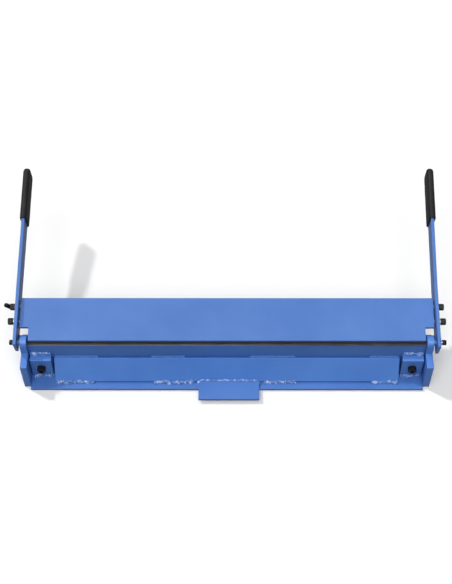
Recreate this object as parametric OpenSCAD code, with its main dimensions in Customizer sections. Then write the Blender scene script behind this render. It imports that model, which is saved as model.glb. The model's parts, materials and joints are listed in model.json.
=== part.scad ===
// Hand sheet metal brake, lying on its foot with the leaf folded back.
// Origin: the middle of the bed's underside. +X along the bend line, +Y towards the handles, +Z up.
// A sheet goes in from above, between the bed and the clamp bar, and the leaf folds what sticks out.

/* [Bed] */
// Length of the bed, between the end plates
bed_len = 764; // [500:1:1000]
// Height of the bend line above the floor
bend_h = 94; // [88:0.5:115]
// Depth of the bed's flat leg
bed_depth = 53; // [48:0.5:64]
// Thickness of the bed angle
bed_t = 6.5; // [5:0.5:8]
// Drop of the bed's bending edge below the hinge axis
edge_drop = 0.5; // [0.3:0.1:1]
// Radius of the bed's inner corner
bed_root_r = 5; // [2:0.5:8]

/* [Stiffener bar] */
// Thickness of the diagonal flat bar
stiff_t = 6; // [4:0.5:8]
// Height at which its rear edge meets the upright leg
stiff_top = 50; // [40:1:60]
// Distance from the upright leg at which its lower edge meets the flat leg
stiff_reach = 27; // [22:0.5:33]
// Gap between each end of the bar and the clamp block beside it
stiff_gap = 4; // [2:0.5:20]

/* [End plates] */
// Thickness of each end plate
plate_t = 13; // [8:0.5:18]
// Radius of the ear around the hinge pin
ear_r = 13.5; // [11:0.5:17]
// Height of the ledge in front of the ear
ledge_h = 74; // [60:1:80]
// Distance from the bend line to the plate's front edge
plate_front = 45; // [32:1:46]
// Distance from the bend line to the plate's rear foot
plate_back = 62; // [55:1:90]
// Height of the rear foot
foot_h = 12; // [6:1:20]

/* [Hinge] */
// Diameter of the hinge pins
pin_d = 12; // [10:0.5:14]
// Radial running clearance of a bore on its pin or screw
run_gap = 0.05; // [0.03:0.01:0.1]
// Thickness of the large washer on the right pin
big_washer_t = 2; // [1:0.1:4]
// Diameter of the large washer on the right pin
big_washer_d = 21; // [16:0.5:26]
// Distance from the hinge axis along the bar to the stop pins
stop_reach = 19; // [16:0.5:26]
// Diameter of the stop pins
stop_d = 6; // [5:0.5:10]

/* [Leaf] */
// Angle of the leaf above level, at rest on its stops
leaf_angle = 11.5; // [6:0.5:20]
// Length of leaf past the outside of each end plate
leaf_over = 2.5; // [1:0.5:10]
// Thickness of the leaf
leaf_t = 8; // [5:0.5:12]
// Distance from the hinge axis to the leaf's rear edge
leaf_reach = 88; // [80:1:130]
// Distance from the hinge axis to the leaf's front edge
leaf_setback = 1; // [0.5:0.1:2]
// Distance from the edge of the ear to the end of each notch in the leaf
notch_room = 14.5; // [8:0.5:18]
// Gap between the leaf's narrow front part and each ear
notch_gap = 2; // [1:0.1:4]
// Thickness of the screw blocks under the leaf's ends
block_drop = 14; // [12:0.5:18]

/* [Handles] */
// Distance from the hinge axis to the bar's tip
handle_reach = 360; // [280:1:500]
// Length of the left bar in front of the hinge axis
bar_nose = 11.8; // [10:0.1:16]
// Length of the right bar in front of the hinge axis
right_nose = 16.5; // [10:0.1:18]
// How far the left bar's tip leans in towards the right
left_lean = 2; // [0:0.5:6]
// How far the right bar's tip leans out
right_lean = 3.5; // [0:0.5:6]
// Thickness of the flat bar
bar_t = 6; // [4:0.5:8]
// Height of the flat bar
bar_h = 40; // [34:0.5:46]
// Height of the bar's top edge above the leaf's working face
bar_top = 22; // [16:0.5:26]
// Gap between the leaf's end and the bar, filled by spacers
spacer_t = 2.5; // [1.5:0.1:5]
// Distance from the hinge axis to the near handle screw
screw_near = 45; // [43:0.5:50]
// Distance between a handle's two screws
screw_pitch = 30; // [26:0.5:34]

/* [Grips] */
// Length of each rubber grip
grip_len = 112.5; // [80:0.5:150]
// Wall of each rubber grip
grip_wall = 3.5; // [2:0.25:5]

/* [Clamp] */
// Width of each clamp block
block_w = 41.5; // [34:0.5:60]
// Depth of each clamp block
block_depth = 16.5; // [12:0.5:18]
// Height of the top of each clamp block above the floor
block_top = 63; // [55:1:75]
// Gap between each clamp block and the end plate beside it
block_gap = 2; // [0:0.5:5]
// Height of the clamp screws above the floor
screw_h = 38; // [30:0.5:45]
// Thickness of the clamp bar
clamp_t = 10; // [8:0.5:14]
// Depth of the clamp bar's top leg
clamp_depth = 50; // [35:1:56]
// Gap between bed and clamp bar when closed
sheet_gap = 0.5; // [0.3:0.1:1]
// Travel of the clamp bar when its screws are turned out
clamp_travel = 5; // [3:0.5:8]

/* [Vise tab] */
// Width of the tab
tab_w = 118; // [60:1:180]
// Length of the tab that stands out past the lip
tab_out = 25.5; // [15:0.5:45]
// Thickness of the tab
tab_t = 6; // [4:0.5:10]
// Distance of the tab's middle from the bed's middle
tab_shift = 4; // [-20:1:20]

/* [Welds] */
// Leg of the weld beads on the blocks
bead_leg = 4.5; // [3:0.5:6]
// Leg of the weld beads on the stiffener and the tab
small_leg = 3; // [2:0.5:4]

/* [Hidden] */
$fn = 48;

// socket screws: thread diameter, head diameter, head height, hex across flats
m6 = [6, 10, 6, 5];
m8 = [8, 13, 8, 6];
m10 = [10, 16, 10, 8];

// the bed's faces; the bend line and the hinge axis lie over its back
bed_back = bed_depth / 2;
bed_front = -bed_depth / 2;
hinge_y = bed_back;
upright_front = bed_back - bed_t;

// places along X, the same on both sides
plate_in = bed_len / 2;
plate_out = plate_in + plate_t;
leaf_end = plate_out + leaf_over;
leaf_neck = plate_in - notch_gap;
bar_in = leaf_end + spacer_t;
bar_out = bar_in + bar_t;
side_play = 0.5;
pin_end = bar_out + side_play;
block_out = plate_in - block_gap;
block_in = block_out - block_w;
screw_x = (block_in + block_out) / 2;
stiff_end = block_in - stiff_gap;

// the stiffener's slope: along it, and out of its front face
stiff_bite = 0.5;
stiff_tilt = atan2(stiff_top - bed_t, stiff_reach);
stiff_along = [cos(stiff_tilt), sin(stiff_tilt)];
stiff_out = [-sin(stiff_tilt), cos(stiff_tilt)] * (stiff_t - stiff_bite);
stiff_foot = [upright_front - stiff_reach, bed_t];
stiff_head = [upright_front, stiff_top];

// weld stitches, each from start to end as shares of half the stiffener's length
top_stitches = [[-1, -0.74], [-0.44, -0.24], [0.13, 0.4], [0.82, 1]];
low_stitches = [[-1, -0.77], [-0.43, -0.19], [0.21, 0.41], [0.84, 1]];

// the handle bar's lower edge, and the stop pin under it
bar_low = bar_top - bar_h;
stop_gap = 0.3;
stop_drop = bar_low - stop_gap - stop_d / 2;
stop_land = 1;
stop_y = hinge_y + stop_reach * cos(leaf_angle) - stop_drop * sin(leaf_angle);
stop_z = bend_h + stop_reach * sin(leaf_angle) + stop_drop * cos(leaf_angle);
stop_end = bar_out + 1;

// the handle screws, the blocks that they go into, and their washers
end_room = 12;
screw_level = -block_drop / 2;
screw_depth = 13;
tap_depth = 14;
flat_t = 1.6;
spring_t = 2.2;
thin_spring_t = 1.6;
clear_gap = 0.4;
spacer_d = 13;
sleeve_t = [4.4, 2.2];
sleeve_d = 11;
function m8_seat(i) = bar_out + flat_t + sleeve_t[i] + spring_t;
tip_r = 9;
bend_at = 110;

// the lock lever
lever_len = 14;
lever_d = 8.5;
lever_tilt = 33;
lever_chamfer = 0.8;

// the sleeve that holds the right pivot's head off its washer
pivot_sleeve_t = 3.2;
pivot_sleeve_d = 8;

// the clamp bar and its captive screws
nose_drop = 1;
clamp_foot = 8;
clamp_end_gap = 1;
clamp_front = bed_back + sheet_gap;
collar_d = 17;
collar_t = 3;
collar_gap = 0.2;
collar_room = 0.8;
collar_back = bed_back + collar_gap + collar_t;
block_front = upright_front - block_depth;
screw_tail = clamp_front + clamp_t + clamp_travel + 4;
socket_depth = 0.55;

// ---- helpers ----

// draws a right-hand piece, or its mirror image on the left
module on_side(side) {
    mirror([side < 0 ? 1 : 0, 0, 0]) children();
}

// children have X along the hinge axis, Y along the leaf and Z out of its top
module in_leaf() {
    translate([0, hinge_y, bend_h]) rotate([leaf_angle, 0, 0]) children();
}

// a (Y, Z) outline extruded from x0 to x1
module along_x(x0, x1) {
    translate([x0, 0, 0]) rotate([90, 0, 90]) linear_extrude(x1 - x0) children();
}

// a round bar along X from x0 to x1
module rod_x(x0, x1, d) {
    translate([x0, 0, 0]) rotate([0, 90, 0]) cylinder(h = x1 - x0, d = d);
}

// a flat ring along X from x0 to x1
module ring_x(x0, x1, d, hole) {
    difference() {
        rod_x(x0, x1, d);
        rod_x(x0 - 1, x1 + 1, hole);
    }
}

// a rectangle with round corners
module round_rect(w, h, r) {
    translate([r, 0]) square([w - 2 * r, h]);
    translate([0, r]) square([w, h - 2 * r]);
    for (x = [r, w - r], y = [r, h - r]) translate([x, y]) circle(r);
}

// a screw along +X: its head's seat is at x = 0 and its shank runs to x = -len
module screw_body(size, len) {
    chamfer = 0.8;
    rod_x(-len, 0, size[0]);
    rod_x(0, size[2] - chamfer, size[1]);
    translate([size[2] - chamfer, 0, 0]) rotate([0, 90, 0])
        cylinder(h = chamfer, d1 = size[1], d2 = size[1] - 2 * chamfer);
}

module cap_screw(size, len) {
    difference() {
        screw_body(size, len);
        translate([size[2] * (1 - socket_depth), 0, 0]) rotate([0, 90, 0])
            cylinder(h = size[2], d = size[3] / cos(30), $fn = 6);
    }
}

// a weld bead in a square corner at (0, 0), with its legs towards -Y and +Z
module bead(x0, x1, leg) {
    along_x(x0, x1) polygon([[0, 0], [-leg, 0], [-leg * 0.62, leg * 0.62], [0, leg]]);
}

// a hole or a shaft along Y, from y0 to y1, at a clamp screw
module at_clamp_screw(y0, y1, d) {
    translate([screw_x, y1, screw_h]) rotate([90, 0, 0]) cylinder(h = y1 - y0, d = d);
}

// ---- base ----

module bed_angle() {
    root = [upright_front - bed_root_r, bed_t];
    color("royalblue") difference() {
        along_x(-plate_in, plate_in) difference() {
            union() {
                translate([upright_front, 0]) square([bed_t, bend_h - edge_drop]);
                translate([bed_front, 0]) square([bed_depth, bed_t]);
                translate(root) square(bed_root_r);
            }
            translate(root + [0, bed_root_r]) circle(bed_root_r);
        }
        for (side = [-1, 1]) on_side(side)
            at_clamp_screw(upright_front - 1, bed_back + 1, m10[0] + 2 * clear_gap);
    }
}

module stiffener_bar() {
    color("cornflowerblue") difference() {
        along_x(-stiff_end, stiff_end) translate(stiff_foot) rotate(stiff_tilt)
            translate([0, -stiff_bite]) square([norm(stiff_head - stiff_foot), stiff_t]);
        along_x(-plate_in, plate_in) translate([bed_front, -bed_t]) square([bed_depth, 2 * bed_t]);
        along_x(-plate_in, plate_in) translate([upright_front, 0]) square([bed_t, bend_h]);
    }
}

module end_plate() {
    color("royalblue") difference() {
        union() {
            along_x(plate_in, plate_out) polygon([
                [hinge_y - plate_front, 0], [hinge_y - plate_front, ledge_h],
                [hinge_y - ear_r, ledge_h], [hinge_y - ear_r, bend_h],
                [hinge_y + ear_r, bend_h], [stop_y + stop_d / 2, stop_z],
                [hinge_y + plate_back, foot_h], [hinge_y + plate_back, 0]
            ]);
            translate([0, hinge_y, bend_h]) rod_x(plate_in, plate_out, 2 * ear_r);
            translate([0, stop_y, stop_z]) rod_x(plate_in, plate_out, stop_d + 2 * stop_land);
        }
        translate([0, hinge_y, bend_h]) rod_x(plate_in - 1, plate_out + 1, pin_d);
        translate([0, stop_y, stop_z]) rod_x(plate_in - 1, plate_out + 1, stop_d);
    }
}

module clamp_block() {
    block_h = block_top - bed_t;
    chamfer = bed_root_r;
    color("royalblue") difference() {
        along_x(block_in, block_out) polygon([
            [block_front, bed_t], [block_front, block_top], [upright_front, block_top],
            [upright_front, bed_t + chamfer], [upright_front - chamfer, bed_t]
        ]);
        at_clamp_screw(block_front - 1, upright_front + 1, m10[0] + 2 * clear_gap);
    }
}

module vise_tab() {
    tab_rear = (stiff_foot + stiff_out)[0];
    color("cornflowerblue") translate([tab_shift - tab_w / 2, bed_front - tab_out, bed_t])
        cube([tab_w, tab_rear - bed_front + tab_out, tab_t]);
}

// ---- welds ----

module stiffener_welds() {
    top_edge = stiff_head + stiff_out;
    low_edge = stiff_foot + stiff_out;
    color("lightsteelblue") {
        for (s = top_stitches) along_x(s[0] * stiff_end, s[1] * stiff_end)
            polygon([stiff_head, [upright_front, top_edge[1] + small_leg], top_edge]);
        for (s = low_stitches) along_x(s[0] * stiff_end, s[1] * stiff_end)
            polygon([stiff_foot, low_edge, [low_edge[0] - small_leg, bed_t]]);
    }
}

module block_welds() {
    color("lightsteelblue") {
        translate([0, upright_front, block_top]) bead(block_in + 2, block_out, bead_leg);
        translate([0, block_front, bed_t]) bead(block_in, block_out - 4, bead_leg);
    }
}

module tab_weld() {
    low_edge = stiff_foot + stiff_out;
    tab_top = bed_t + tab_t;
    rise = (tab_top + small_leg - low_edge[1]) / stiff_along[1];
    color("lightsteelblue") along_x(tab_shift - tab_w / 2, tab_shift + tab_w / 2) polygon([
        low_edge, low_edge + stiff_along * rise, [low_edge[0] - small_leg, tab_top], [low_edge[0], tab_top]
    ]);
}

// ---- hinge ----

module hinge_pin() {
    color("lightsteelblue") translate([0, hinge_y, bend_h]) difference() {
        rod_x(plate_in, pin_end, pin_d);
        rod_x(pin_end - tap_depth, pin_end + 1, m6[0]);
    }
}

module pivot_washer(d, t) {
    color("dimgray") translate([0, hinge_y, bend_h])
        ring_x(pin_end, pin_end + t, d, m6[0] + 2 * clear_gap);
}

module pivot_sleeve() {
    color("silver") translate([0, hinge_y, bend_h])
        ring_x(pin_end + big_washer_t, pin_end + big_washer_t + pivot_sleeve_t, pivot_sleeve_d, m6[0] + 2 * clear_gap);
}

module pivot_spring(seat) {
    color("dimgray") translate([0, hinge_y, bend_h])
        ring_x(pin_end + seat, pin_end + seat + thin_spring_t, m6[1], m6[0] + 2 * clear_gap);
}

module pivot_bolt(seat) {
    head = pin_end + seat + thin_spring_t;
    color("black") translate([head, hinge_y, bend_h])
        cap_screw(m6, head - pin_end + tap_depth - 1);
}

module stop_pin() {
    color("lightsteelblue") translate([0, stop_y, stop_z]) rod_x(plate_in, stop_end, stop_d);
}

// ---- leaf ----

module leaf_plate() {
    notch_end = ear_r + notch_room;
    color("cornflowerblue") in_leaf() {
        translate([-leaf_neck, leaf_setback, 0]) cube([2 * leaf_neck, leaf_reach - leaf_setback, leaf_t]);
        translate([-leaf_end, notch_end, 0]) cube([2 * leaf_end, leaf_reach - notch_end, leaf_t]);
    }
}

module leaf_block() {
    start = screw_near - end_room;
    color("royalblue") in_leaf() difference() {
        translate([plate_in, start, -block_drop])
            cube([leaf_end - plate_in, screw_pitch + 2 * end_room, block_drop]);
        at_handle_screws() rod_x(leaf_end - tap_depth, leaf_end + 1, m8[0]);
    }
}

// repeats its children at a handle's two screws, or at one of them
module at_handle_screws(which = [0, 1]) {
    for (i = which) translate([0, screw_near + i * screw_pitch, screw_level]) children();
}

// the flat bar's outline along (Y, Z) of the leaf
module bar_outline(nose) {
    tip = handle_reach - tip_r;
    translate([-nose, bar_low]) square([tip + nose, bar_h]);
    translate([tip - 1, bar_low + tip_r]) square([tip_r + 1, bar_h - 2 * tip_r]);
    for (z = [bar_low + tip_r, bar_top - tip_r]) translate([tip, z]) circle(tip_r);
}

// the flat bar, bent a little sideways so that its tip leans out
module flat_bar(nose, lean) {
    out = max(lean, 0) + 1;
    intersection() {
        translate([0, 0, bar_low - 1]) linear_extrude(bar_h + 2) polygon([
            [bar_in, -nose - 1], [bar_out, -nose - 1], [bar_out, bend_at], [bar_out + lean, handle_reach + 1],
            [bar_in + lean, handle_reach + 1], [bar_in, bend_at]
        ]);
        along_x(bar_in - abs(lean) - 1, bar_out + out) bar_outline(nose);
    }
}

module handle_bar(nose, lean) {
    color("cornflowerblue") in_leaf() difference() {
        flat_bar(nose, lean);
        rod_x(bar_in - 1, bar_out + 1, pin_d + 2 * run_gap);
        at_handle_screws() rod_x(bar_in - 1, bar_out + 1, m8[0] + 2 * clear_gap);
    }
}

module grip(lean) {
    w = bar_t + 2 * grip_wall;
    h = bar_h + 2 * grip_wall;
    start = handle_reach + grip_wall - grip_len;
    outer_r = tip_r + grip_wall;
    swing = atan2(lean, handle_reach + 1 - bend_at);
    color("black") in_leaf() difference() {
        translate([bar_in, bend_at, 0]) rotate([0, 0, -swing]) translate([-bar_in, -bend_at, 0]) intersection() {
            translate([bar_in - grip_wall, start, bar_low - grip_wall]) rotate([90, 0, 0])
                mirror([0, 0, 1]) linear_extrude(grip_len) round_rect(w, h, w / 2 - 0.5);
            along_x(bar_in - grip_wall, bar_out + grip_wall)
                translate([start - outer_r * 2, bar_low - grip_wall])
                round_rect(grip_len + outer_r * 2, h, outer_r);
            translate([bar_in - grip_wall, start - w, bar_low - grip_wall])
                linear_extrude(h) round_rect(w, grip_len + w, w / 2 - 0.5);
        }
        flat_bar(bar_nose, lean);
    }
}

// ---- handle screws ----

module handle_bolts(which) {
    color("black") in_leaf() for (i = which) at_handle_screws([i])
        translate([m8_seat(i), 0, 0]) cap_screw(m8, m8_seat(i) - leaf_end + screw_depth);
}

module bolt_spacers() {
    color("gray") in_leaf() at_handle_screws() ring_x(leaf_end, bar_in, spacer_d, m8[0] + 2 * clear_gap);
}

module bolt_washers() {
    color("gray") in_leaf() at_handle_screws()
        ring_x(bar_out, bar_out + flat_t, m8[1] + 3, m8[0] + 2 * clear_gap);
}

module bolt_sleeves() {
    color("silver") in_leaf() for (i = [0, 1]) at_handle_screws([i])
        ring_x(bar_out + flat_t, m8_seat(i) - spring_t, sleeve_d, m8[0] + 2 * clear_gap);
}

module bolt_springs() {
    color("gray") in_leaf() for (i = [0, 1]) at_handle_screws([i])
        ring_x(m8_seat(i) - spring_t, m8_seat(i), m8[1], m8[0] + 2 * clear_gap);
}

module lock_screw() {
    color("black") in_leaf() at_handle_screws([1]) translate([m8_seat(1), 0, 0])
        screw_body(m8, m8_seat(1) - leaf_end + screw_depth);
}

// a stub arm that leans outwards from the end of the lock screw's head
module lock_lever() {
    head_end = m8_seat(1) + m8[2];
    color("black") in_leaf() at_handle_screws([1]) translate([head_end, 0, 0]) difference() {
        rotate([0, lever_tilt, 0]) {
            translate([0, 0, -lever_d]) cylinder(h = lever_len + lever_d - lever_chamfer, d = lever_d);
            translate([0, 0, lever_len - lever_chamfer])
                cylinder(h = lever_chamfer, d1 = lever_d, d2 = lever_d - 2 * lever_chamfer);
        }
        translate([-2 * lever_d, -lever_d, -2 * lever_d]) cube([2 * lever_d, 2 * lever_d, 4 * lever_len]);
    }
}

// ---- clamp ----

module clamp_bar() {
    top = bend_h - nose_drop;
    half = plate_in - clamp_end_gap;
    color("slategray") difference() {
        along_x(-half, half) {
            translate([clamp_front, clamp_foot]) square([clamp_t, top - clamp_foot]);
            translate([clamp_front, top - clamp_t]) square([clamp_depth, clamp_t]);
        }
        for (side = [-1, 1]) on_side(side) {
            at_clamp_screw(clamp_front - 1, clamp_front + clamp_t + 1, m10[0] + 2 * run_gap);
            at_clamp_screw(clamp_front - 1, collar_back + collar_room, collar_d + 2 * clear_gap);
        }
    }
}

module clamp_screw() {
    color("black") translate([screw_x, block_front, screw_h]) rotate([0, 0, -90])
        cap_screw(m10, screw_tail - block_front);
}

module screw_collar() {
    color("gray") difference() {
        at_clamp_screw(bed_back + collar_gap, collar_back, collar_d);
        at_clamp_screw(bed_back, collar_back + 1, m10[0]);
    }
}

bed_angle();
stiffener_bar();
on_side(-1) end_plate();  // end_plate_left
on_side(1) end_plate();  // end_plate_right
on_side(-1) clamp_block();  // clamp_block_left
on_side(1) clamp_block();  // clamp_block_right
vise_tab();
stiffener_welds();
on_side(-1) block_welds();  // block_welds_left
on_side(1) block_welds();  // block_welds_right
tab_weld();
on_side(-1) hinge_pin();  // hinge_pin_left
on_side(1) hinge_pin();  // hinge_pin_right
on_side(-1) pivot_bolt(flat_t);  // pivot_bolt_left
on_side(1) pivot_bolt(big_washer_t + pivot_sleeve_t);  // pivot_bolt_right
on_side(-1) pivot_washer(m6[1] + 3, flat_t);  // pivot_washer_left
on_side(1) pivot_washer(big_washer_d, big_washer_t);  // pivot_washer_right
on_side(1) pivot_sleeve();  // pivot_sleeve_right
on_side(-1) pivot_spring(flat_t);  // pivot_spring_left
on_side(1) pivot_spring(big_washer_t + pivot_sleeve_t);  // pivot_spring_right
on_side(-1) stop_pin();  // stop_pin_left
on_side(1) stop_pin();  // stop_pin_right
leaf_plate();
on_side(-1) leaf_block();  // leaf_block_left
on_side(1) leaf_block();  // leaf_block_right
on_side(-1) handle_bar(bar_nose, -left_lean);  // handle_bar_left
on_side(1) handle_bar(right_nose, right_lean);  // handle_bar_right
on_side(-1) grip(-left_lean);  // grip_left
on_side(1) grip(right_lean);  // grip_right
on_side(-1) handle_bolts([0]);  // handle_bolt_left
on_side(1) handle_bolts([0, 1]);  // handle_bolts_right
on_side(-1) bolt_spacers();  // bolt_spacers_left
on_side(1) bolt_spacers();  // bolt_spacers_right
on_side(-1) bolt_washers();  // bolt_washers_left
on_side(1) bolt_washers();  // bolt_washers_right
on_side(-1) bolt_sleeves();  // bolt_sleeves_left
on_side(1) bolt_sleeves();  // bolt_sleeves_right
on_side(-1) bolt_springs();  // bolt_springs_left
on_side(1) bolt_springs();  // bolt_springs_right
on_side(-1) lock_screw();
on_side(-1) lock_lever();
clamp_bar();
on_side(-1) clamp_screw();  // clamp_screw_left
on_side(1) clamp_screw();  // clamp_screw_right
on_side(-1) screw_collar();  // screw_collar_left
on_side(1) screw_collar();  // screw_collar_right
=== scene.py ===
import json
import math
import random

import bpy
from mathutils import Matrix, Vector


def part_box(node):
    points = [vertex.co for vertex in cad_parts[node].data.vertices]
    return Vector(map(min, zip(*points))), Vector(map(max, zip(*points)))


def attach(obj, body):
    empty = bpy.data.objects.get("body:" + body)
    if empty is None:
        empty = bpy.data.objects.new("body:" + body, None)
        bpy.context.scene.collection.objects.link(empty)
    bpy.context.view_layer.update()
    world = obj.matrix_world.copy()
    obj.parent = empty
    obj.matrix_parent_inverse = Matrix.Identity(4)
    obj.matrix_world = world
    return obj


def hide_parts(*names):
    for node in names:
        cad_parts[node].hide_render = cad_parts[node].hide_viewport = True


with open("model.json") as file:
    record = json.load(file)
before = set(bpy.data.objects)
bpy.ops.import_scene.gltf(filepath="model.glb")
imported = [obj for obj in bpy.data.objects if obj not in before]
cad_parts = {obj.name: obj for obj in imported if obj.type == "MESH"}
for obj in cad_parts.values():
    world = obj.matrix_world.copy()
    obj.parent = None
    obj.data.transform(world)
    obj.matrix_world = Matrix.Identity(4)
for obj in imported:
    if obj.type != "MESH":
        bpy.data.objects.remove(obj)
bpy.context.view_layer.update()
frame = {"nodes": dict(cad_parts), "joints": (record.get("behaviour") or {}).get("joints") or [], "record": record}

nodes = frame["nodes"]
joints = {joint["name"]: joint for joint in frame["joints"]}
bodies = frame["record"]["behaviour"]["bodies"]
bodyOf = {node: body for body, members in bodies.items() for node in members}
mm = 0.001
hair = 0.01 * mm  # two places closer than this are the same

# leafSpace takes (across, along, up) on the leaf, measured from the hinge axis, to the shared frame
hinge = Vector(joints["leaf_turn"]["pos_m"])
leafSlope = 11.5
leafSpace = Matrix.Translation(hinge) @ Matrix.Rotation(math.radians(leafSlope), 4, "X")
print("frame loaded")


# Shader tools: sums on a Wire add Math nodes, and every other node comes from Finish.node

class Wire:
    def __init__(self, finish, socket):
        self.finish = finish
        self.socket = socket

    def sum(self, operation, first, second):
        return self.finish.node("ShaderNodeMath", {"operation": operation}, {0: first, 1: second})

    def __add__(self, other):
        return self.sum("ADD", self, other)

    def __radd__(self, other):
        return self.sum("ADD", other, self)

    def __sub__(self, other):
        return self.sum("SUBTRACT", self, other)

    def __rsub__(self, other):
        return self.sum("SUBTRACT", other, self)

    def __mul__(self, other):
        return self.sum("MULTIPLY", self, other)

    def __rmul__(self, other):
        return self.sum("MULTIPLY", other, self)

    def __gt__(self, other):
        return self.sum("GREATER_THAN", self, other)

    def __lt__(self, other):
        return self.sum("LESS_THAN", self, other)


class Finish:
    def __init__(self, name):
        self.material = bpy.data.materials.new(name)
        self.material.use_nodes = True
        self.tree = self.material.node_tree
        self.tree.nodes.clear()
        self.place = self.node("ShaderNodeTexCoord", {}, {}, "Object")
        across = self.node("ShaderNodeSeparateXYZ", {}, {0: self.place})
        self.x, self.y, self.z = [Wire(self, socket) for socket in across.socket.node.outputs]

    def node(self, kind, settings, inputs, output=0):
        made = self.tree.nodes.new(kind)
        for name, value in settings.items():
            if name == "stops":
                stops = made.color_ramp.elements
                while len(stops) < len(value):
                    stops.new(0.5)
                for stop, (position, grey) in zip(stops, value):
                    stop.position = position
                    stop.color = (grey, grey, grey, 1)
            else:
                setattr(made, name, value)
        for name, value in inputs.items():
            if isinstance(value, Wire):
                self.tree.links.new(value.socket, made.inputs[name])
            else:
                made.inputs[name].default_value = value
        return Wire(self, made.outputs[output]) if len(made.outputs) else None

    def noise(self, scale, detail=3.0, roughness=0.5, stretch=(1, 1, 1)):
        place = self.place
        if stretch != (1, 1, 1):
            place = self.node("ShaderNodeMapping", {}, {"Vector": self.place, "Scale": stretch})
        return self.node("ShaderNodeTexNoise", {}, {
            "Vector": place, "Scale": scale, "Detail": detail, "Roughness": roughness})

    def ramp(self, value, *stops):
        return self.node("ShaderNodeValToRGB", {"stops": stops}, {0: value})

    def mix(self, factor, first, second):
        return self.node("ShaderNodeMix", {"data_type": "RGBA"}, {0: factor, 6: first, 7: second}, 2)

    def bump(self, height, depth):
        return self.node("ShaderNodeBump", {}, {"Height": height, "Distance": depth})

    def end(self, inputs):
        surface = self.node("ShaderNodeBsdfPrincipled", {}, inputs)
        self.node("ShaderNodeOutputMaterial", {}, {"Surface": surface})
        return self.material


def colour(red, green, blue):
    return (red, green, blue, 1)


# the plate and stiffener shares make paler copies of this enamel as painted light
enamel = {
    "blue": colour(0.054, 0.158, 0.465), "pale": colour(0.062, 0.172, 0.485),
    "deep": colour(0.048, 0.147, 0.445),
    "cloudScale": 9, "fleckScale": 34, "peelScale": 620, "peelDepth": 0.00003,
    "roughness": 0.34, "coat": 0.1, "coatRoughness": 0.22, "plateShare": 1.2, "stiffenerShare": 1.42,
}


def enamelParts(finish, settings):
    # sprayed enamel: faint clouds in the colour, orange peel, and a roughness that follows both
    clouds = finish.noise(settings["cloudScale"], 3, 0.55)
    paint = finish.mix(finish.ramp(clouds, (0.35, 0), (0.68, 1)), settings["deep"], settings["pale"])
    flecks = finish.noise(settings["fleckScale"], 2)
    paint = finish.mix(finish.ramp(flecks, (0.42, 0), (0.75, 0.5)), paint, settings["blue"])
    peel = finish.noise(settings["peelScale"], 2, 0.45)
    return paint, peel, settings["roughness"] + (clouds - 0.5) * 0.12 + (peel - 0.5) * 0.06


def lighter(settings, share):
    # the same paint made paler, as painted light for parts that should look more brightly lit
    made = dict(settings)
    for name in ("blue", "pale", "deep"):
        made[name] = colour(*[value * share for value in settings[name][:3]])
    return made


def enamelFinish(name, share=1.0):
    finish = Finish(name)
    paint, peel, roughness = enamelParts(finish, lighter(enamel, share))
    return finish.end({
        "Base Color": paint, "Roughness": roughness,
        "Coat Weight": enamel["coat"], "Coat Roughness": enamel["coatRoughness"],
        "Normal": finish.bump(peel, enamel["peelDepth"])})


bareEdge = {
    "top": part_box("bed_angle")[1].z, "depth": 0.00026, "ragged": 0.00035, "raggedScale": 45,
    "wear": 0.0018, "wearSlope": 3, "streakStretch": (26, 1500, 1500), "stainScale": 11,
    # the bare steel colour is near black: partly the steel's own tone, partly painted shade under the leaf's front
    # edge
    "steel": colour(0.058, 0.055, 0.062), "bright": colour(0.19, 0.18, 0.19),
    "brown": colour(0.12, 0.085, 0.06), "metallic": 0.85, "roughness": 0.42,
}


def bedFinish():
    # the same enamel, with the bending edge planed bare after painting, further down towards the right end:
    # streaks along it and a few brown stains; the bare steel is near black, partly its own dull tone and partly
    # painted shade from the leaf's edge
    finish = Finish("bedEnamel")
    paint, peel, roughness = enamelParts(finish, enamel)
    ragged = (finish.noise(bareEdge["raggedScale"], 4, 0.6) - 0.5) * bareEdge["ragged"]
    wear = finish.ramp(finish.x * bareEdge["wearSlope"], (0, 0), (0.9, 1)) * bareEdge["wear"]
    bare = finish.z + ragged + wear > bareEdge["top"] - bareEdge["depth"]
    streaks = finish.noise(1, 4, 0.6, bareEdge["streakStretch"])
    stains = finish.ramp(finish.noise(bareEdge["stainScale"], 4, 0.65), (0.58, 0), (0.66, 1))
    steel = finish.mix(finish.ramp(streaks, (0.45, 0), (0.72, 1)), bareEdge["steel"], bareEdge["bright"])
    steel = finish.mix(stains * 0.8, steel, bareEdge["brown"])
    height = peel * (1 - bare) + streaks * bare * 0.6
    return finish.end({
        "Base Color": finish.mix(bare, paint, steel), "Metallic": bare * bareEdge["metallic"],
        "Roughness": roughness * (1 - bare) + bare * (bareEdge["roughness"] + streaks * 0.2),
        "Coat Weight": (1 - bare) * enamel["coat"], "Coat Roughness": enamel["coatRoughness"],
        "Normal": finish.bump(height, enamel["peelDepth"])})


weldPaint = {
    # the pale crest colour is a painted highlight, laid in patches by a noise
    "blue": colour(0.062, 0.17, 0.485), "crest": colour(0.42, 0.53, 0.76),
    "deep": colour(0.038, 0.115, 0.36),
    "lumpScale": 230, "highlightScale": 120, "grainScale": 1500, "depth": 0.00035, "coatRoughness": 0.12,
}
# each look gives the level of the noise over which the pale painted highlight is laid
beadLooks = {
    "weldEnamel": {"crests": 0.69, "roughness": 0.36, "coat": 0.0, "specular": 0.12},
    "roughWeldEnamel": {"crests": 0.5, "roughness": 0.2, "coat": 0.5, "specular": 0.5},
}


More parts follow.
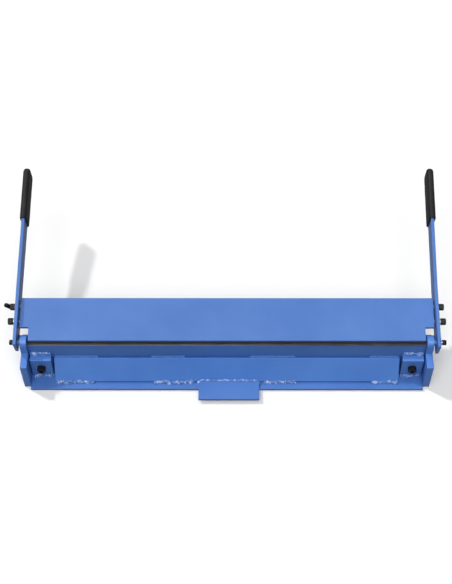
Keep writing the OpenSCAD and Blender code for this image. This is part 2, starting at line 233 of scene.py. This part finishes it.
def weldFinish(name, crests, roughness, coat, specular):
    # enamel over beads: pale patches from a noise, painted highlights for glints on the beads, and darker where
    # the lump bump is low
    finish = Finish(name)
    lumps = finish.noise(weldPaint["lumpScale"], 3, 0.6)
    paint = finish.mix(finish.ramp(lumps, (0.3, 0), (0.5, 1)), weldPaint["deep"], weldPaint["blue"])
    highlightMask = finish.ramp(finish.noise(weldPaint["highlightScale"], 3, 0.65), (crests, 0), (crests + 0.12, 0.85))
    paint = finish.mix(highlightMask, paint, weldPaint["crest"])
    grain = finish.noise(weldPaint["grainScale"], 2)
    return finish.end({
        "Base Color": paint, "Roughness": roughness + lumps * 0.2, "Specular IOR Level": specular,
        "Coat Weight": coat, "Coat Roughness": weldPaint["coatRoughness"],
        "Normal": finish.bump(lumps * 0.7 + grain * 0.3, weldPaint["depth"])})


pinPaint = {
    "blue": colour(0.062, 0.17, 0.49), "worn": colour(0.3, 0.32, 0.36),
    "ringStretch": (2600, 1, 1), "wornScale": 210, "ringDepth": 0.00003,
    "metallic": 0.8, "roughness": 0.26, "coat": 0.2, "coatRoughness": 0.2,
}


def pinFinish():
    # turned pins painted in place: the lathe's rings show through, and the paint is rubbed thin in spots
    finish = Finish("pinEnamel")
    rings = finish.noise(1, 2, 0.5, pinPaint["ringStretch"])
    worn = finish.ramp(finish.noise(pinPaint["wornScale"], 4, 0.6), (0.6, 0), (0.68, 1))
    return finish.end({
        "Base Color": finish.mix(worn, pinPaint["blue"], pinPaint["worn"]),
        "Metallic": worn * pinPaint["metallic"], "Roughness": pinPaint["roughness"] + rings * 0.14,
        "Coat Weight": (1 - worn) * pinPaint["coat"], "Coat Roughness": pinPaint["coatRoughness"],
        "Normal": finish.bump(rings, pinPaint["ringDepth"])})


clampNose = {
    # the nose steel colour is near black: painted shade in the seam under the leaf's front edge
    "steel": colour(0.045, 0.045, 0.05), "height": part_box("clamp_bar")[1].z - 4 * mm,
    "front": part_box("clamp_bar")[0].y + 3 * mm, "grindStretch": (1800, 60, 60),
    "metallic": 0.85, "roughness": 0.3,
}


def clampFinish():
    # enamel, with the nose ground bare; its steel is painted near black as painted shade in the seam under the
    # leaf
    finish = Finish("clampEnamel")
    paint, peel, roughness = enamelParts(finish, enamel)
    nose = (finish.z > clampNose["height"]) * (finish.y < clampNose["front"])
    grinding = finish.noise(1, 3, 0.6, clampNose["grindStretch"])
    return finish.end({
        "Base Color": finish.mix(nose, paint, clampNose["steel"]), "Metallic": nose * clampNose["metallic"],
        "Roughness": roughness * (1 - nose) + nose * (clampNose["roughness"] + grinding * 0.2),
        "Coat Weight": (1 - nose) * enamel["coat"], "Coat Roughness": enamel["coatRoughness"],
        "Normal": finish.bump(peel * (1 - nose) + grinding * nose, enamel["peelDepth"])})


oxide = {
    "black": colour(0.004, 0.0038, 0.0045), "brown": colour(0.014, 0.012, 0.0118),
    "filmScale": 300, "grainScale": 2200, "grainDepth": 0.00002,
    "metallic": 0.1, "roughness": 0.1, "specular": 0.42,
}


def oxideFinish():
    # black oxide socket screws: oily black, a little browner where handled
    finish = Finish("blackOxide")
    film = finish.noise(oxide["filmScale"], 4, 0.6)
    black = finish.mix(finish.ramp(film, (0.45, 0), (0.72, 1)), oxide["black"], oxide["brown"])
    return finish.end({
        "Base Color": black, "Metallic": oxide["metallic"], "Roughness": oxide["roughness"] + film * 0.14,
        "Specular IOR Level": oxide["specular"],
        "Normal": finish.bump(finish.noise(oxide["grainScale"], 2), oxide["grainDepth"])})


zinc = {
    "dull": colour(0.42, 0.43, 0.46), "bright": colour(0.66, 0.67, 0.69),
    "spangleScale": 520, "spangleDepth": 0.00003, "roughness": 0.26,
}


def zincFinish():
    # bright zinc plate with its fine spangle and a few dull spots
    finish = Finish("zincPlate")
    spangle = finish.noise(zinc["spangleScale"], 3, 0.6)
    plate = finish.mix(finish.ramp(spangle, (0.35, 0), (0.7, 1)), zinc["dull"], zinc["bright"])
    return finish.end({
        "Base Color": plate, "Metallic": 1.0, "Roughness": zinc["roughness"] + spangle * 0.2,
        "Normal": finish.bump(spangle, zinc["spangleDepth"])})


rubber = {
    "black": colour(0.009, 0.0088, 0.0102), "grey": colour(0.02, 0.0195, 0.022),
    "pebbleScale": 1150, "pebbleDepth": 0.0001, "runStretch": (420, 14, 14), "bloomScale": 30,
    "roughness": 0.46, "specular": 0.22,
}


def rubberFinish():
    # dipped rubber: fine pebbles, faint runs along the bar and a dusty bloom
    finish = Finish("gripRubber")
    pebbles = finish.noise(rubber["pebbleScale"], 2, 0.5)
    runs = finish.noise(1, 3, 0.5, rubber["runStretch"])
    bloom = finish.noise(rubber["bloomScale"], 4, 0.6)
    dusty = finish.ramp(bloom + (runs - 0.5) * 0.5, (0.4, 0), (0.75, 1))
    skin = finish.mix(dusty, rubber["black"], rubber["grey"])
    return finish.end({
        "Base Color": skin, "Roughness": rubber["roughness"] + bloom * 0.16,
        "Specular IOR Level": rubber["specular"],
        "Normal": finish.bump(pebbles * 0.7 + runs * 0.5, rubber["pebbleDepth"])})


finishes = {
    "blue_paint": enamelFinish("blueEnamel"),
    "painted_weld": weldFinish("weldEnamel", **beadLooks["weldEnamel"]),
    "pin_paint": pinFinish(),
    "clamp_steel": clampFinish(),
    "black_oxide": oxideFinish(),
    "zinc_steel": zincFinish(),
    "rubber": rubberFinish(),
}
bedEnamel = bedFinish()
# paler enamel on the end plates, clamp blocks and stiffener is painted light, brightening them as if more lit
plateEnamel = enamelFinish("plateEnamel", enamel["plateShare"])
stiffenerEnamel = enamelFinish("stiffenerEnamel", enamel["stiffenerShare"])
roughWeldEnamel = weldFinish("roughWeldEnamel", **beadLooks["roughWeldEnamel"])
print("finishes mixed")


# Modelling tools

def onlySelect(piece):
    bpy.ops.object.select_all(action="DESELECT")
    piece.select_set(True)
    bpy.context.view_layer.objects.active = piece


def edit(piece, mode="FACE"):
    onlySelect(piece)
    bpy.ops.object.mode_set(mode="EDIT")
    bpy.ops.mesh.select_mode(type=mode)
    bpy.ops.mesh.select_all(action="SELECT")


def done():
    bpy.ops.object.mode_set(mode="OBJECT")
    return bpy.context.object


def choose(piece, kind, test):
    # selects the faces, edges or vertices of a piece in edit mode that pass the test
    bpy.ops.mesh.select_all(action="DESELECT")
    bpy.ops.object.mode_set(mode="OBJECT")
    for part in getattr(piece.data, kind):
        part.select = bool(test(part))
    bpy.ops.object.mode_set(mode="EDIT")


def ends(piece, edge):
    return [piece.data.vertices[i].co for i in edge.vertices]


def extrude(x, y, z):
    bpy.ops.mesh.extrude_region_move(TRANSFORM_OT_translate={"value": (x, y, z)})


def modify(piece, kind, **settings):
    onlySelect(piece)
    modifier = piece.modifiers.new(kind.lower(), kind)
    for name, value in settings.items():
        setattr(modifier, name, value)
    bpy.ops.object.modifier_apply(modifier=modifier.name)


def smooth(piece, angle=32):
    onlySelect(piece)
    bpy.ops.object.shade_smooth_by_angle(angle=math.radians(angle))


def copyTo(piece, name, place):
    made = bpy.data.objects.new(name, piece.data.copy())
    bpy.context.scene.collection.objects.link(made)
    made.data.transform(place)
    return made


def joined(pieces, name):
    bpy.ops.object.select_all(action="DESELECT")
    for piece in pieces:
        piece.select_set(True)
    bpy.context.view_layer.objects.active = pieces[0]
    bpy.ops.object.join()
    pieces[0].name = name
    return pieces[0]


def discard(*pieces):
    for piece in pieces:
        bpy.data.objects.remove(piece)


def fit(piece, slot, *replaced, material=None):
    # gives a finished piece its finish, its body and the CAD solids that it stands for
    piece.data.materials.clear()
    piece.data.materials.append(material or finishes[slot])
    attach(piece, bodyOf[replaced[0]])
    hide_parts(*replaced)
    return piece


def wordsJoined(name):
    first, *rest = name.split("_")
    return first + "".join(word.capitalize() for word in rest)


def softCopy(node, slot, edge, segments=3, material=None):
    # the solid with its arrises rounded over, as sawn, rolled or tumbled stock has them
    piece = bpy.data.objects.new(wordsJoined(node), nodes[node].data.copy())
    bpy.context.scene.collection.objects.link(piece)
    edit(piece)
    bpy.ops.mesh.remove_doubles(threshold=0.002 * mm)
    bpy.ops.mesh.dissolve_limited(angle_limit=math.radians(0.5))
    done()
    modify(piece, "BEVEL", width=edge * mm, segments=segments, limit_method="ANGLE",
           angle_limit=math.radians(32), use_clamp_overlap=False)
    smooth(piece, 40)
    modify(piece, "WEIGHTED_NORMAL", keep_sharp=True)
    return fit(piece, slot, node, material=material)


# Plates, bars and blocks of the base
arris = {
    "angle": 0.9, "leaf": 0.4, "plate": 0.9, "block": 1.1, "flatBar": 0.7,
    "pin": 0.6, "lever": 0.5, "collar": 0.3, "washer": 0.22,
}

softCopy("bed_angle", "blue_paint", arris["angle"], material=bedEnamel)
softCopy("stiffener_bar", "blue_paint", arris["flatBar"], material=stiffenerEnamel)
softCopy("vise_tab", "blue_paint", arris["flatBar"])
for side in ("left", "right"):
    softCopy("end_plate_" + side, "blue_paint", arris["plate"], material=plateEnamel)
    softCopy("clamp_block_" + side, "blue_paint", arris["block"], material=plateEnamel)
    softCopy("hinge_pin_" + side, "pin_paint", arris["washer"])
    softCopy("stop_pin_" + side, "pin_paint", arris["pin"])
    softCopy("pivot_washer_" + side, "black_oxide", arris["washer"], 2)
softCopy("pivot_sleeve_right", "zinc_steel", arris["washer"], 2)
print("base built")

# The leaf, its blocks and the handle bars
softCopy("leaf_plate", "blue_paint", arris["leaf"])
for side in ("left", "right"):
    softCopy("leaf_block_" + side, "blue_paint", arris["plate"])
    softCopy("handle_bar_" + side, "blue_paint", arris["flatBar"])
    softCopy("bolt_spacers_" + side, "zinc_steel", arris["washer"], 2)
    softCopy("bolt_washers_" + side, "zinc_steel", arris["washer"], 2)
    softCopy("bolt_sleeves_" + side, "zinc_steel", arris["washer"], 2)
print("leaf built")

# The clamp bar and the collars on its screws
softCopy("clamp_bar", "clamp_steel", arris["plate"])
for side in ("left", "right"):
    softCopy("screw_collar_" + side, "zinc_steel", arris["collar"], 2)
print("clamp built")


# Rubber grips: a block with a round tip, all its edges rolled over, open at the bar's end
grip = {
    "inner": 396.5 * mm, "outer": 409.5 * mm, "start": 251.05 * mm, "tip": 363.4 * mm,
    "low": -21.5 * mm, "high": 25.5 * mm, "tipRadius": 12.4 * mm, "roll": 5.2 * mm, "wall": 3.1 * mm,
    "mouth": 7 * mm, "rim": 0.9 * mm,
    "bend": Vector((400 * mm, 110 * mm, 0)), "leanRun": 251, "lean": {"left": -2, "right": 3.5},
}


def gripPiece():
    near = Vector((grip["inner"], grip["start"], grip["low"]))
    far = Vector((grip["outer"], grip["tip"], grip["high"]))
    size = far - near
    bpy.ops.object.select_all(action="DESELECT")
    bpy.ops.mesh.primitive_cube_add(size=1, location=(0, 0, 0))
    piece = bpy.context.object
    piece.data.transform(Matrix.Translation((near + far) / 2) @ Matrix.Diagonal((*size, 1)))
    edit(piece, "EDGE")
    choose(piece, "edges", lambda edge: all(point.y > grip["tip"] - hair for point in ends(piece, edge))
           and abs(ends(piece, edge)[0].x - ends(piece, edge)[1].x) > size.x / 2)
    bpy.ops.mesh.bevel(offset=grip["tipRadius"], segments=14, affect="EDGES")
    choose(piece, "edges", lambda edge: abs(ends(piece, edge)[0].x - ends(piece, edge)[1].x) < hair
           and any(point.y > grip["start"] + hair for point in ends(piece, edge)))
    bpy.ops.mesh.bevel(offset=grip["roll"], segments=7, affect="EDGES")
    bpy.ops.mesh.select_mode(type="FACE")
    choose(piece, "polygons", lambda face: face.normal.y < -0.9)
    bpy.ops.mesh.inset(thickness=grip["wall"])
    extrude(0, grip["mouth"], 0)
    bpy.ops.mesh.select_mode(type="EDGE")
    choose(piece, "edges", lambda edge: onRim(piece, edge)
           and all(abs(point.y - grip["start"]) < hair for point in ends(piece, edge)))
    bpy.ops.mesh.bevel(offset=grip["rim"], segments=3, affect="EDGES")
    done()
    smooth(piece, 38)
    return piece


def onRim(piece, edge):
    # true for the loops round a flat end, false for the spokes between them
    first, second = ends(piece, edge)
    middle = Vector(((grip["outer"] + grip["inner"]) / 2, grip["start"], (grip["high"] + grip["low"]) / 2))
    along = (second - first).normalized()
    outward = ((first + second) / 2 - middle).normalized()
    return abs(along.dot(outward)) < 0.995 and not spoke(piece, edge)


def spoke(piece, edge):
    first, second = ends(piece, edge)
    outer = [min(abs(point.x - grip["inner"]), abs(point.x - grip["outer"]),
                 abs(point.z - grip["low"]), abs(point.z - grip["high"])) < hair
             for point in (first, second)]
    return outer[0] != outer[1]


gripMaster = gripPiece()
for side, flip in (("left", -1), ("right", 1)):
    lean = -math.atan(grip["lean"][side] / grip["leanRun"])
    swing = Matrix.Translation(grip["bend"]) @ Matrix.Rotation(lean, 4, "Z")
    mirrored = leafSpace @ Matrix.Diagonal((flip, 1, 1, 1)) @ swing @ Matrix.Translation(-grip["bend"])
    piece = copyTo(gripMaster, "grip" + side.capitalize(), mirrored)
    if flip < 0:
        edit(piece)
        bpy.ops.mesh.normals_make_consistent(inside=False)
        done()
    fit(piece, "rubber", "grip_" + side)
discard(gripMaster)
print("grips moulded")


# Socket head screws along +Z: seat at z = 0, head above it, shank below; plain is the share without thread
screwSizes = {
    "m6": {"shank": 6, "head": 10, "height": 6, "hex": 5, "length": 17, "plain": 0, "ridges": 30},
    "m8": {"shank": 8, "head": 13, "height": 8, "hex": 6, "length": 24, "plain": 0, "ridges": 36},
    "m10": {"shank": 10, "head": 16, "height": 10, "hex": 8, "length": 42.5, "plain": 0.6, "ridges": 40},
}
screwShape = {
    "ridge": 0.97, "crownHeight": 0.8,
    "crown": ((0.55, 0.955), (0.45, 0.93)),  # each step's share of the height, and how far it draws in
    "socketDepth": 0.55, "drillPoint": 0.12, "drillTaper": 0.35,
    "pitch": 1.5, "threadDepth": 0.62, "neck": 0.5, "point": 0.9, "pointTaper": 0.8,
}


def knurledHead(size):
    bpy.ops.object.select_all(action="DESELECT")
    body = (size["height"] - screwShape["crownHeight"]) * mm
    count = 2 * size["ridges"]
    bpy.ops.mesh.primitive_cylinder_add(vertices=count, radius=size["head"] / 2 * mm, depth=body,
                                        location=(0, 0, 0), end_fill_type="NGON")
    head = bpy.context.object
    head.data.transform(Matrix.Translation((0, 0, body / 2)))
    edit(head, "VERT")
    choose(head, "vertices",
           lambda vertex: round(math.atan2(vertex.co.x, vertex.co.y) / math.tau * count) % 2)
    bpy.ops.transform.resize(value=(screwShape["ridge"], screwShape["ridge"], 1))
    bpy.ops.mesh.select_mode(type="FACE")
    choose(head, "polygons", lambda face: face.normal.z > 0.9)
    for rise, taper in screwShape["crown"]:
        extrude(0, 0, screwShape["crownHeight"] * rise * mm)
        bpy.ops.transform.resize(value=(taper, taper, 1))
    return done()


def cutSocket(head, size):
    depth = size["height"] * screwShape["socketDepth"] * mm
    bpy.ops.object.select_all(action="DESELECT")
    bpy.ops.mesh.primitive_cylinder_add(vertices=6, radius=size["hex"] / math.sqrt(3) * mm, depth=2 * depth,
                                        location=(0, 0, 0), end_fill_type="NGON")
    key = bpy.context.object
    edit(key)
    choose(key, "polygons", lambda face: face.normal.z < -0.9)
    extrude(0, 0, -size["hex"] * screwShape["drillPoint"] * mm)
    bpy.ops.transform.resize(value=(screwShape["drillTaper"], screwShape["drillTaper"], 1))
    done()
    key.data.transform(Matrix.Translation((0, 0, size["height"] * mm)))
    modify(head, "BOOLEAN", operation="DIFFERENCE", object=key, solver="EXACT")
    discard(key)


def threadedShank(size):
    # the shank is drawn down from the seat ring by ring, crest and root by turns
    bpy.ops.object.select_all(action="DESELECT")
    bpy.ops.mesh.primitive_circle_add(vertices=36, radius=size["shank"] / 2 * mm, fill_type="NGON",
                                      location=(0, 0, 0))
    shank = bpy.context.object
    edit(shank)
    length, plain, pitch = size["length"], size["plain"], screwShape["pitch"]
    extrude(0, 0, -(length * plain + screwShape["neck"]) * mm)
    turns = int((length * (1 - plain) - pitch) / pitch)
    narrow = 1 - screwShape["threadDepth"] * 2 / size["shank"]
    for turn in range(turns):
        for scale in (narrow, 1 / narrow):
            extrude(0, 0, -pitch / 2 * mm)
            bpy.ops.transform.resize(value=(scale, scale, 1))
    extrude(0, 0, -screwShape["point"] * mm)
    bpy.ops.transform.resize(value=(screwShape["pointTaper"], screwShape["pointTaper"], 1))
    bpy.ops.mesh.select_all(action="SELECT")
    bpy.ops.mesh.normals_make_consistent(inside=False)
    return done()


def socketScrew(size, socket=True):
    head = knurledHead(size)
    if socket:
        cutSocket(head, size)
    screw = joined([head, threadedShank(size)], "screw")
    smooth(screw, 28)
    return screw


# Split spring washers along +Z, resting at z = 0; rise is how far one end stands over the other
springSizes = {
    "m6": {"bore": 6.8, "outer": 10, "thick": 1.6, "rise": 0.25},
    "m8": {"bore": 8.8, "outer": 13, "thick": 2.2, "rise": 0.35},
}
springShape = {"corner": 0.18, "sweep": 352, "steps": 60}


def splitWasher(bore, outer, thick, rise):
    bpy.ops.object.select_all(action="DESELECT")
    bpy.ops.mesh.primitive_plane_add(size=1, location=(0, 0, 0))
    washer = bpy.context.object
    width = (outer - bore) / 2
    thick = thick - rise
    washer.data.transform(Matrix.Translation(((bore + width) / 2 * mm, 0, thick / 2 * mm))
                          @ Matrix.Rotation(math.radians(90), 4, "X")
                          @ Matrix.Diagonal((width * mm, thick * mm, 1, 1)))
    edit(washer, "EDGE")
    bpy.ops.mesh.bevel(offset=springShape["corner"] * mm, segments=2, affect="VERTICES")
    bpy.ops.mesh.select_all(action="SELECT")
    bpy.ops.mesh.delete(type="ONLY_FACE")
    done()
    modify(washer, "SCREW", axis="Z", angle=math.radians(springShape["sweep"]), screw_offset=rise * mm,
           steps=springShape["steps"], render_steps=springShape["steps"], use_merge_vertices=False)
    edit(washer, "EDGE")
    bpy.ops.mesh.fill_holes(sides=0)
    bpy.ops.mesh.select_all(action="SELECT")
    bpy.ops.mesh.normals_make_consistent(inside=False)
    done()
    smooth(washer, 40)
    return washer


def outwards(side, seat, along=0.0, up=0.0, space=None):
    # a place on a side of the brake, with +Z turned to point outwards there
    sign = -1 if side == "left" else 1
    turn = Matrix.Rotation(math.radians(90 * sign), 4, "Y")
    return (space or Matrix.Translation(hinge)) @ Matrix.Translation((sign * seat, along, up)) @ turn


stagger = 2.2  # how much further out the near heads sit, in mm
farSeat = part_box("handle_bolts_right")[1].x - (screwSizes["m8"]["height"] + stagger) * mm
handleScrews = {
    "near": 45 * mm, "far": 75 * mm, "level": -7 * mm,
    "nearSeat": farSeat + stagger * mm, "farSeat": farSeat,
}
screws = {name: socketScrew(size) for name, size in screwSizes.items()}
leverScrew = socketScrew(screwSizes["m8"], socket=False)
smallSpring = splitWasher(**springSizes["m6"])
springWasher = splitWasher(**springSizes["m8"])

for side in ("left", "right"):
    end = side.capitalize()
    reach = abs(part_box("pivot_bolt_" + side)[0 if side == "left" else 1].x)
    fit(copyTo(screws["m6"], "pivotScrew" + end, outwards(side, reach - screwSizes["m6"]["height"] * mm)),
        "black_oxide", "pivot_bolt_" + side)
    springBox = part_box("pivot_spring_" + side)
    springSeat = min(abs(springBox[0].x), abs(springBox[1].x))
    fit(copyTo(smallSpring, "pivotSpring" + end, outwards(side, springSeat)),
        "black_oxide", "pivot_spring_" + side)

    springs, bolts = [], []
    for name in ("near", "far"):
        along, level, seat = handleScrews[name], handleScrews["level"], handleScrews[name + "Seat"]
        under = seat - springSizes["m8"]["thick"] * mm
        springs.append(copyTo(springWasher, "spring", outwards(side, under, along, level, leafSpace)))
        if side == "right" or name == "near":
            bolts.append(copyTo(screws["m8"], "bolt", outwards(side, seat, along, level, leafSpace)))
    fit(joined(springs, "handleSprings" + end), "black_oxide", "bolt_springs_" + side)
    if side == "left":
        fit(joined(bolts, "handleScrewLeft"), "black_oxide", "handle_bolt_left")
        lockPlace = outwards(side, handleScrews["farSeat"], handleScrews["far"], handleScrews["level"],
                             leafSpace)
        fit(copyTo(leverScrew, "lockScrewBody", lockPlace), "black_oxide", "lock_screw")
    else:
        fit(joined(bolts, "handleScrewsRight"), "black_oxide", "handle_bolts_right")

    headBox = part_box("clamp_screw_" + side)
    middle = (headBox[0] + headBox[1]) / 2
    headSeat = Vector((middle.x, headBox[0].y + screwSizes["m10"]["height"] * mm, middle.z))
    facing = Matrix.Translation(headSeat) @ Matrix.Rotation(math.radians(90), 4, "X")
    fit(copyTo(screws["m10"], "clampScrewBody" + end, facing), "black_oxide", "clamp_screw_" + side)
discard(*screws.values(), leverScrew, smallSpring, springWasher)
softCopy("lock_lever", "black_oxide", arris["lever"])
print("screws turned")


# Weld beads: rows of overlapping ripples fused together, at corners given by (y, z) in mm
ripple = {
    "voxel": 0.45, "along": 0.62, "seed": 11, "length": 0.72,
    "wander": 0.25, "stretch": (0.2, 0.22, 0.35), "twist": 0.35,  # how much each random draw moves a ripple
}


def rippleRow(master, points, across, out, facing, rough, chance):
    # lays ripples along a path; facing is the (y, z) that the bead's crown points to
    placed = []
    for start, stop in zip(points, points[1:]):
        start, stop = Vector(start), Vector(stop)
        length = (stop - start).length
        count = max(2, round(length / (across * ripple["along"])))
        along = (stop - start).normalized()
        crown = Vector((0, *facing)).normalized()
        crown = (crown - along * crown.dot(along)).normalized()
        beside = crown.cross(along)
        for i in range(count):
            share = (i + 0.5) / count
            wobble = [chance.uniform(-1, 1) * rough for step in range(6)]
            middle = start.lerp(stop, share) + beside * wobble[0] * across * ripple["wander"]
            middle += crown * wobble[1] * out * ripple["wander"]
            longer, wider, higher = [draw * most for draw, most in zip(wobble[2:5], ripple["stretch"])]
            size = (across * (ripple["length"] + longer), across * (1 + wider), out * (1 + higher))
            place = Matrix.Translation(middle * mm) @ Matrix((along, beside, crown)).transposed().to_4x4()
            place = place @ Matrix.Rotation(ripple["twist"] * wobble[5], 4, "Z")
            placed.append(copyTo(master, "ripple", place @ Matrix.Diagonal((*[v * mm for v in size], 1))))
    return placed


def weldBead(name, rows, node, material=None):
    chance = random.Random(ripple["seed"] + len(name))
    bpy.ops.object.select_all(action="DESELECT")
    bpy.ops.mesh.primitive_uv_sphere_add(segments=14, ring_count=9, radius=1, location=(0, 0, 0))
    master = bpy.context.object
    placed = []
    for row in rows:
        placed += rippleRow(master, chance=chance, **row)
    discard(master)
    bead = joined(placed, name)
    modify(bead, "REMESH", mode="VOXEL", voxel_size=ripple["voxel"] * mm, use_smooth_shade=True)
    modify(bead, "SMOOTH", factor=0.5, iterations=2)
    onlySelect(bead)
    bpy.ops.object.shade_smooth()
    return fit(bead, "painted_weld", node, material=material)


def straightRow(first, last, corner, **bead):
    # a straight row between two places along X, in mm
    return {"points": [(first, *corner), (last, *corner)], **bead}


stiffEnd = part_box("stiffener_bar")[1].x / mm
stitchInset = 2  # the round end of a stitch reaches this much further
topBead = {"corner": (18.1, 53.4), "across": 3.4, "out": 1.4, "facing": (-0.54, 0.84), "rough": 0.22}
lowBead = {"corner": (-12.6, 7.6), "facing": (-0.69, 0.72), "rough": 1.15}
lowCrown = 0.62  # how high the lower stitches stand, as a share of how broad they are
# where each stitch starts and ends, as shares of the stiffener's half length, and how broad a lower one is
topStitches = ((-1, -0.74), (-0.44, -0.24), (0.13, 0.4), (0.82, 1))
lowStitches = ((-1, -0.77, 4.6), (-0.43, -0.19, 5.2), (0.21, 0.41, 4.5), (0.84, 1, 4.6))
topRows = [straightRow(first * stiffEnd + stitchInset, last * stiffEnd - stitchInset, **topBead)
           for first, last in topStitches]
lowRows = [straightRow(first * stiffEnd + stitchInset, last * stiffEnd - stitchInset,
                       across=broad, out=broad * lowCrown, **lowBead)
           for first, last, broad in lowStitches]
weldBead("topStitches", topRows, "stiffener_welds")
weldBead("lowStitches", lowRows, "stiffener_welds", roughWeldEnamel)

# the tab's bead runs up one side, along the foot of the stiffener and down the other side
tabBead = {"across": 2.4, "out": 1.8, "facing": (-0.41, 0.91), "rough": 0.35}
tabCorner = ((-0.4, -18, 8.4), (-0.2, -14.5, 11.4), (2.2, -11.9, 12.7), (6, -10.9, 13.1))  # inwards, y, z
tabLow, tabHigh = [corner.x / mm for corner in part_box("vise_tab")]
tabPath = [(tabLow + inwards, y, z) for inwards, y, z in tabCorner]
tabPath += [(tabHigh - inwards, y, z) for inwards, y, z in reversed(tabCorner)]
weldBead("tabBead", [{"points": tabPath, **tabBead}], "tab_weld", roughWeldEnamel)

# each row on a block stops this far short of its inner and its outer face
blockRows = (
    (3, 1, {"corner": (18.6, 64.4), "across": 4.0, "out": 2.9, "facing": (-0.7, 0.7), "rough": 0.8}),
    (1, 4, {"corner": (2.2, 7.8), "across": 4.6, "out": 3.1, "facing": (-0.7, 0.7), "rough": 1.0}),
)
for side, sign in (("left", -1), ("right", 1)):
    low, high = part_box("clamp_block_" + side)
    inner, outer = sorted((abs(low.x / mm), abs(high.x / mm)))
    rows = [straightRow(sign * (inner + near), sign * (outer - far), **bead)
            for near, far, bead in blockRows]
    weldBead("blockBeads" + side.capitalize(), rows, "block_welds_" + side, roughWeldEnamel)
print("beads laid")


# Studio: a plain pale floor, a key from behind on the left, and broad soft lights over the front and back
studio = {
    "floor": 0.81, "floorSize": 70, "floorDrop": 0.2 * mm, "grainScale": 700, "grainDepth": 0.00002,
    "keyPower": 1.5, "keySize": 3.5, "keyAim": (0.65, -0.4, -1),
    "fillPower": 2.0, "fillSize": 50, "fillAim": (0.04, 0.41, -0.91),
    "backPower": 0.3, "backSize": 60, "backAim": (0, -0.55, -0.84), "sky": 0.27, "backdropSize": 33,
}
camera = {
    "lens": 75.64, "down": 57.138, "yaw": 0.26, "roll": -0.191,
    "distance": 2345.46, "lift": -96.545, "slide": 1.143,
}


def floorFinish():
    finish = Finish("floorPaper")
    grain = finish.noise(studio["grainScale"], 2)
    return finish.end({
        "Base Color": colour(studio["floor"], studio["floor"], studio["floor"]), "Roughness": 0.9,
        "Specular IOR Level": 0.0, "Normal": finish.bump(grain, studio["grainDepth"])})


bpy.ops.object.select_all(action="DESELECT")
bpy.ops.mesh.primitive_plane_add(size=studio["floorSize"], location=(0, 0, 0))
floor = bpy.context.object
floor.name = "floor"
floor.data.transform(Matrix.Translation((0, 0, -studio["floorDrop"])))
floor.data.materials.append(floorFinish())

# a white backdrop round it all; only the camera sees the floor and it, so that no colour bounces up
bpy.ops.mesh.primitive_uv_sphere_add(segments=48, ring_count=24, radius=studio["backdropSize"],
                                     location=(0, 0, 0))
backdrop = bpy.context.object
backdrop.name = "backdrop"
backdropPaper = Finish("backdropPaper")
backdrop.data.materials.append(backdropPaper.end({
    "Base Color": colour(0, 0, 0), "Emission Color": colour(1, 1, 1), "Emission Strength": 1.0}))
backdrop.visible_shadow = False
for stagePiece in (floor, backdrop):
    stagePiece.visible_diffuse = False
    stagePiece.visible_glossy = False


def farLight(name, aim, power, size):
    bpy.ops.object.light_add(type="SUN", location=(0, 0, 0))
    light = bpy.context.object
    light.name = name
    light.rotation_euler = Vector(aim).to_track_quat("-Z", "Y").to_euler()
    light.data.energy = power
    light.data.angle = math.radians(size)


farLight("keyLight", studio["keyAim"], studio["keyPower"], studio["keySize"])
farLight("fillLight", studio["fillAim"], studio["fillPower"], studio["fillSize"])
farLight("backLight", studio["backAim"], studio["backPower"], studio["backSize"])
world = bpy.data.worlds.new("studioAir")
world.use_nodes = True
world.node_tree.nodes["Background"].inputs["Color"].default_value = colour(1, 1, 1)
world.node_tree.nodes["Background"].inputs["Strength"].default_value = studio["sky"]
bpy.context.scene.world = world
bpy.context.scene.view_settings.view_transform = "Standard"

yaw, down, roll = [math.radians(camera[name]) for name in ("yaw", "down", "roll")]
across = Vector((math.cos(yaw), math.sin(yaw), 0))
level = Vector((-math.sin(yaw), math.cos(yaw), 0))
look = level * math.cos(down) - Vector((0, 0, 1)) * math.sin(down)
upward = level * math.sin(down) + Vector((0, 0, 1)) * math.cos(down)
eye = hinge - (look * camera["distance"] + upward * camera["lift"] + across * camera["slide"]) * mm
rightward = across * math.cos(roll) + upward * math.sin(roll)
topward = upward * math.cos(roll) - across * math.sin(roll)
cameraData = bpy.data.cameras.new("studioCamera")
cameraData.sensor_fit = "VERTICAL"
cameraData.sensor_height = 36
cameraData.lens = camera["lens"]
cameraObject = bpy.data.objects.new("studioCamera", cameraData)
bpy.context.scene.collection.objects.link(cameraObject)
turned = Matrix((rightward, topward, -look)).transposed().to_4x4()
cameraObject.matrix_world = Matrix.Translation(eye) @ turned
bpy.context.scene.camera = cameraObject
print("studio lit")

bpy.ops.object.select_all(action="DESELECT")
